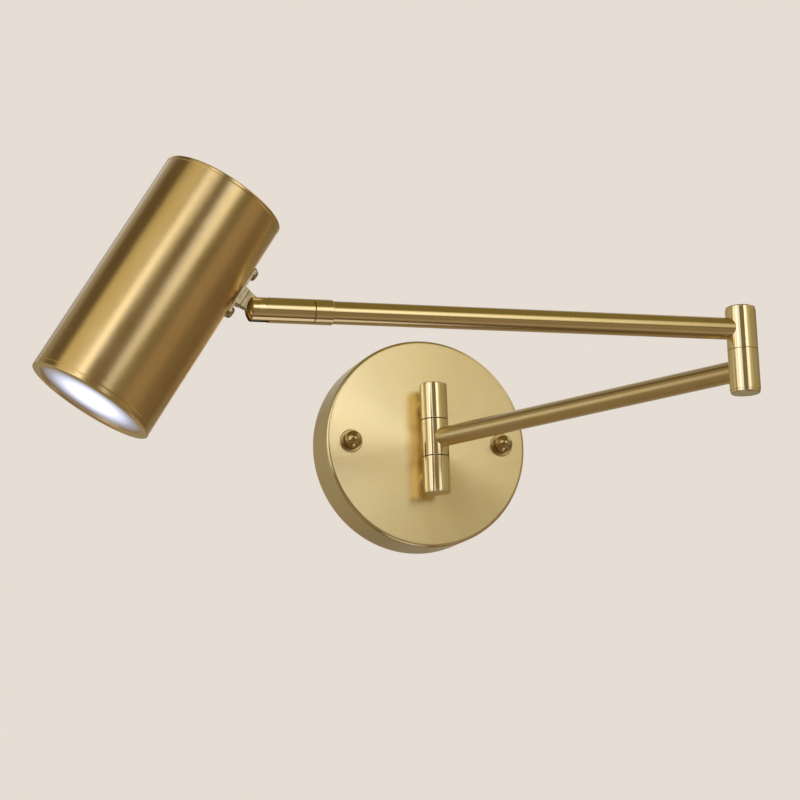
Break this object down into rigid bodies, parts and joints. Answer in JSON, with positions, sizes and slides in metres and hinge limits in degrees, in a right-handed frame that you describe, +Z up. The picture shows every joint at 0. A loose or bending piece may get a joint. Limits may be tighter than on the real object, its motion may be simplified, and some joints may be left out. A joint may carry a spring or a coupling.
{
  "type": "swing arm wall lamp",
  "caption": "Brass wall lamp with a round canopy, two hinged swing arms and a tubular LED head that rolls and tilts.",
  "frame": {"origin": "middle of the canopy's back plane at the wall, on the line of the two wall screw slots", "axes": "+Y goes into the wall, -Y out into the room, +Z up, +X to the right seen from the room"},
  "size_m": [0.3651, 0.2667, 0.1512],
  "materials": {
    "spun_brass": "satin, spun",
    "head_brass": "satin, brushed along the tube",
    "arm_brass": "satin, fine polish",
    "polished_brass": "polished",
    "plain_brass": "turned, unlacquered",
    "zinc_steel": "zinc plated",
    "green_screw": "green passivated",
    "terminal_plastic": "moulded",
    "lead_sleeve": "smooth sleeve",
    "washer_plastic": "smooth",
    "diffuser_plastic": "opal, lit from behind",
    "reflector_white": "gloss white",
    "board_aluminium": "plain",
    "chip_phosphor": "phosphor",
    "thermal_pad": "soft",
    "driver_plastic": "moulded"
  },
  "bodies": {
    "wall_base": {"wall_bracket": "zinc_steel", "ground_screw": "green_screw", "canopy": "spun_brass", "canopy_studs": "zinc_steel", "nut_washers": "polished_brass", "cap_nuts": "polished_brass", "post_plate": "zinc_steel", "base_posts": "polished_brass", "post_nuts": "zinc_steel", "terminal_block": "terminal_plastic", "terminal_screws": "zinc_steel", "base_lead": "lead_sleeve", "base_knuckle_top": "polished_brass", "base_knuckle_bottom": "polished_brass", "base_pivot_pin": "plain_brass", "base_end_caps": "polished_brass"},
    "lower_arm": {"base_knuckle_middle": "polished_brass", "base_washers": "washer_plastic", "lower_arm_tube": "arm_brass", "elbow_knuckle_lower": "polished_brass", "elbow_pivot_pin": "plain_brass", "elbow_cap_bottom": "polished_brass", "elbow_washer": "plain_brass", "lower_arm_lead": "lead_sleeve"},
    "upper_arm": {"elbow_knuckle_upper": "polished_brass", "elbow_cap_top": "polished_brass", "upper_arm_tube": "arm_brass", "arm_end_collar": "polished_brass", "swivel_spigot": "plain_brass", "swivel_nut": "plain_brass", "upper_arm_lead": "lead_sleeve"},
    "swivel": {"swivel_sleeve": "polished_brass", "swivel_fork": "polished_brass", "tilt_pin": "polished_brass"},
    "head": {"head_bracket": "polished_brass", "bracket_screws": "polished_brass", "bracket_nuts": "zinc_steel", "lead_grommet": "washer_plastic", "shade_tube": "head_brass", "top_cap": "head_brass", "trim_ring": "head_brass", "diffuser": "diffuser_plastic", "reflector": "reflector_white", "led_board": "board_aluminium", "led_chips": "chip_phosphor", "board_screws": "zinc_steel", "heat_sink": "board_aluminium", "driver_pad": "thermal_pad", "led_driver": "driver_plastic", "head_lead": "lead_sleeve"}
  },
  "joints": [
    {"name": "base_swing", "type": "hinge", "parent": "wall_base", "child": "lower_arm", "pos_m": [0, -0.0399, 0], "axis": [0, 0, 1], "range_deg": [-109, 58]},
    {"name": "elbow_swing", "type": "hinge", "parent": "lower_arm", "child": "upper_arm", "pos_m": [0.09385, -0.23755, 0], "axis": [0, 0, 1], "range_deg": [-30, 262]},
    {"name": "head_roll", "type": "hinge", "parent": "upper_arm", "child": "swivel", "pos_m": [-0.15657, -0.2313, 0.0207], "axis": [-0.9997, 0.025, 0], "range_deg": [-170, 170]},
    {"name": "head_tilt", "type": "hinge", "parent": "swivel", "child": "head", "pos_m": [-0.15657, -0.2313, 0.0207], "axis": [0.0249, 0.9957, 0.0898], "range_deg": [-115, 52]}
  ]
}
